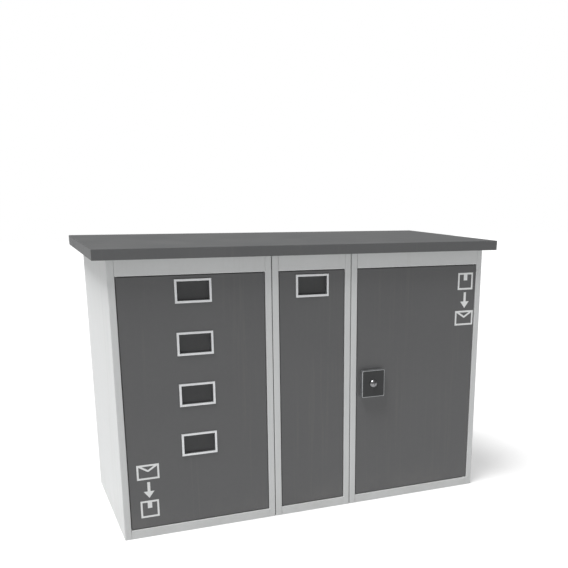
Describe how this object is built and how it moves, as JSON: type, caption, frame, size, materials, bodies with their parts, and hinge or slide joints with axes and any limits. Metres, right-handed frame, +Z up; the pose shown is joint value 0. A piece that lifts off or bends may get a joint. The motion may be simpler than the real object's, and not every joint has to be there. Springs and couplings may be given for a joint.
{
  "type": "cluster mailbox unit",
  "caption": "Free-standing sheet-steel mail station with flapped letter slots, a tall lockable parcel door, rear collection doors and a pitched roof tray.",
  "frame": {"origin": "on the ground at the middle of the bounding box's footprint", "axes": "+X to the right as seen from the front, along the row of cabinets; the front faces -Y; +Z up"},
  "size_m": [1.916, 0.862, 1.2876],
  "materials": {
    "carcass_light_grey": "satin powder coat, fine texture",
    "front_dark_grey": "satin powder coat, fine texture",
    "roof_dark_grey": "satin powder coat, weathered",
    "slot_frame_metal": "satin anodised",
    "flap_dark_grey": "matt powder coat",
    "lock_case_metal": "satin anodised",
    "lock_face_dark": "matt",
    "lock_bright_metal": "polished",
    "knob_dark_metal": "black nickel, satin",
    "fixing_steel": "zinc plated",
    "seal_rubber": "matt"
  },
  "bodies": {
    "cabinet": {"letter_left_side": "carcass_light_grey", "letter_right_side": "carcass_light_grey", "letter_floor": "carcass_light_grey", "letter_ceiling": "carcass_light_grey", "bulk_left_side": "carcass_light_grey", "bulk_right_side": "carcass_light_grey", "bulk_floor": "carcass_light_grey", "bulk_ceiling": "carcass_light_grey", "parcel_left_side": "carcass_light_grey", "parcel_right_side": "carcass_light_grey", "parcel_floor": "carcass_light_grey", "parcel_ceiling": "carcass_light_grey", "letter_front_panel": "front_dark_grey", "bulk_front_panel": "front_dark_grey", "letter_service_panel": "carcass_light_grey", "parcel_rear_panel": "carcass_light_grey", "shelf_1": "carcass_light_grey", "shelf_2": "carcass_light_grey", "shelf_3": "carcass_light_grey", "shelf_4": "carcass_light_grey", "roof": "roof_dark_grey", "roof_nuts": "fixing_steel", "cabinet_bolts": "fixing_steel", "joint_seals": "seal_rubber", "panel_screws": "fixing_steel", "slot_frame_1": "slot_frame_metal", "slot_frame_2": "slot_frame_metal", "slot_frame_3": "slot_frame_metal", "slot_frame_4": "slot_frame_metal", "slot_frame_bulk": "slot_frame_metal", "flap_pins": "fixing_steel", "rear_hinge_pins": "fixing_steel", "parcel_hinge_pins": "fixing_steel"},
    "flap_1": {"flap_1": "flap_dark_grey"},
    "flap_2": {"flap_2": "flap_dark_grey"},
    "flap_3": {"flap_3": "flap_dark_grey"},
    "flap_4": {"flap_4": "flap_dark_grey"},
    "flap_bulk": {"flap_bulk": "flap_dark_grey"},
    "parcel_door": {"parcel_door": "front_dark_grey", "lock_case": "lock_case_metal", "lock_face": "lock_face_dark"},
    "parcel_lock": {"lock_knob": "knob_dark_metal", "lock_cam": "fixing_steel", "lock_nut": "fixing_steel"},
    "rear_door_1": {"rear_door_1": "carcass_light_grey", "rear_lock_1": "lock_bright_metal"},
    "rear_cam_1": {"rear_cam_1": "fixing_steel"},
    "rear_door_2": {"rear_door_2": "carcass_light_grey", "rear_lock_2": "lock_bright_metal"},
    "rear_cam_2": {"rear_cam_2": "fixing_steel"},
    "rear_door_3": {"rear_door_3": "carcass_light_grey", "rear_lock_3": "lock_bright_metal"},
    "rear_cam_3": {"rear_cam_3": "fixing_steel"},
    "rear_door_4": {"rear_door_4": "carcass_light_grey", "rear_lock_4": "lock_bright_metal"},
    "rear_cam_4": {"rear_cam_4": "fixing_steel"},
    "rear_door_bulk": {"rear_door_bulk": "carcass_light_grey", "rear_lock_bulk": "lock_bright_metal"},
    "rear_cam_bulk": {"rear_cam_bulk": "fixing_steel"}
  },
  "joints": [
    {"name": "flap_1_hinge", "type": "hinge", "parent": "cabinet", "child": "flap_1", "pos_m": [-0.549, -0.3812, 1.1185], "axis": [1, 0, 0], "range_deg": [0, 75]},
    {"name": "flap_2_hinge", "type": "hinge", "parent": "cabinet", "child": "flap_2", "pos_m": [-0.549, -0.3812, 0.8935], "axis": [1, 0, 0], "range_deg": [0, 75]},
    {"name": "flap_3_hinge", "type": "hinge", "parent": "cabinet", "child": "flap_3", "pos_m": [-0.549, -0.3812, 0.6685], "axis": [1, 0, 0], "range_deg": [0, 75]},
    {"name": "flap_4_hinge", "type": "hinge", "parent": "cabinet", "child": "flap_4", "pos_m": [-0.549, -0.3812, 0.4435], "axis": [1, 0, 0], "range_deg": [0, 75]},
    {"name": "flap_bulk_hinge", "type": "hinge", "parent": "cabinet", "child": "flap_bulk", "pos_m": [-0.004, -0.3812, 1.1185], "axis": [1, 0, 0], "range_deg": [0, 75]},
    {"name": "parcel_door_hinge", "type": "hinge", "parent": "cabinet", "child": "parcel_door", "pos_m": [0.855, -0.384, 0.595], "axis": [0, 0, 1], "range_deg": [0, 110]},
    {"name": "parcel_lock_turn", "type": "hinge", "parent": "parcel_door", "child": "parcel_lock", "pos_m": [0.301, -0.395, 0.603], "axis": [0, 1, 0], "range_deg": [0, 90]},
    {"name": "rear_door_1_hinge", "type": "hinge", "parent": "cabinet", "child": "rear_door_1", "pos_m": [-0.855, 0.384, 1.0315], "axis": [0, 0, 1], "range_deg": [0, 110]},
    {"name": "rear_cam_1_turn", "type": "hinge", "parent": "rear_door_1", "child": "rear_cam_1", "pos_m": [-0.261, 0.385, 1.0315], "axis": [0, -1, 0], "range_deg": [0, 90]},
    {"name": "rear_door_2_hinge", "type": "hinge", "parent": "cabinet", "child": "rear_door_2", "pos_m": [-0.855, 0.384, 0.8065], "axis": [0, 0, 1], "range_deg": [0, 110]},
    {"name": "rear_cam_2_turn", "type": "hinge", "parent": "rear_door_2", "child": "rear_cam_2", "pos_m": [-0.261, 0.385, 0.8065], "axis": [0, -1, 0], "range_deg": [0, 90]},
    {"name": "rear_door_3_hinge", "type": "hinge", "parent": "cabinet", "child": "rear_door_3", "pos_m": [-0.855, 0.384, 0.5815], "axis": [0, 0, 1], "range_deg": [0, 110]},
    {"name": "rear_cam_3_turn", "type": "hinge", "parent": "rear_door_3", "child": "rear_cam_3", "pos_m": [-0.261, 0.385, 0.5815], "axis": [0, -1, 0], "range_deg": [0, 90]},
    {"name": "rear_door_4_hinge", "type": "hinge", "parent": "cabinet", "child": "rear_door_4", "pos_m": [-0.855, 0.384, 0.3565], "axis": [0, 0, 1], "range_deg": [0, 110]},
    {"name": "rear_cam_4_turn", "type": "hinge", "parent": "rear_door_4", "child": "rear_cam_4", "pos_m": [-0.261, 0.385, 0.3565], "axis": [0, -1, 0], "range_deg": [0, 90]},
    {"name": "rear_door_bulk_hinge", "type": "hinge", "parent": "cabinet", "child": "rear_door_bulk", "pos_m": [-0.15, 0.384, 0.5895], "axis": [0, 0, 1], "range_deg": [0, 110]},
    {"name": "rear_cam_bulk_turn", "type": "hinge", "parent": "rear_door_bulk", "child": "rear_cam_bulk", "pos_m": [0.124, 0.385, 0.5895], "axis": [0, -1, 0], "range_deg": [0, 90]}
  ]
}
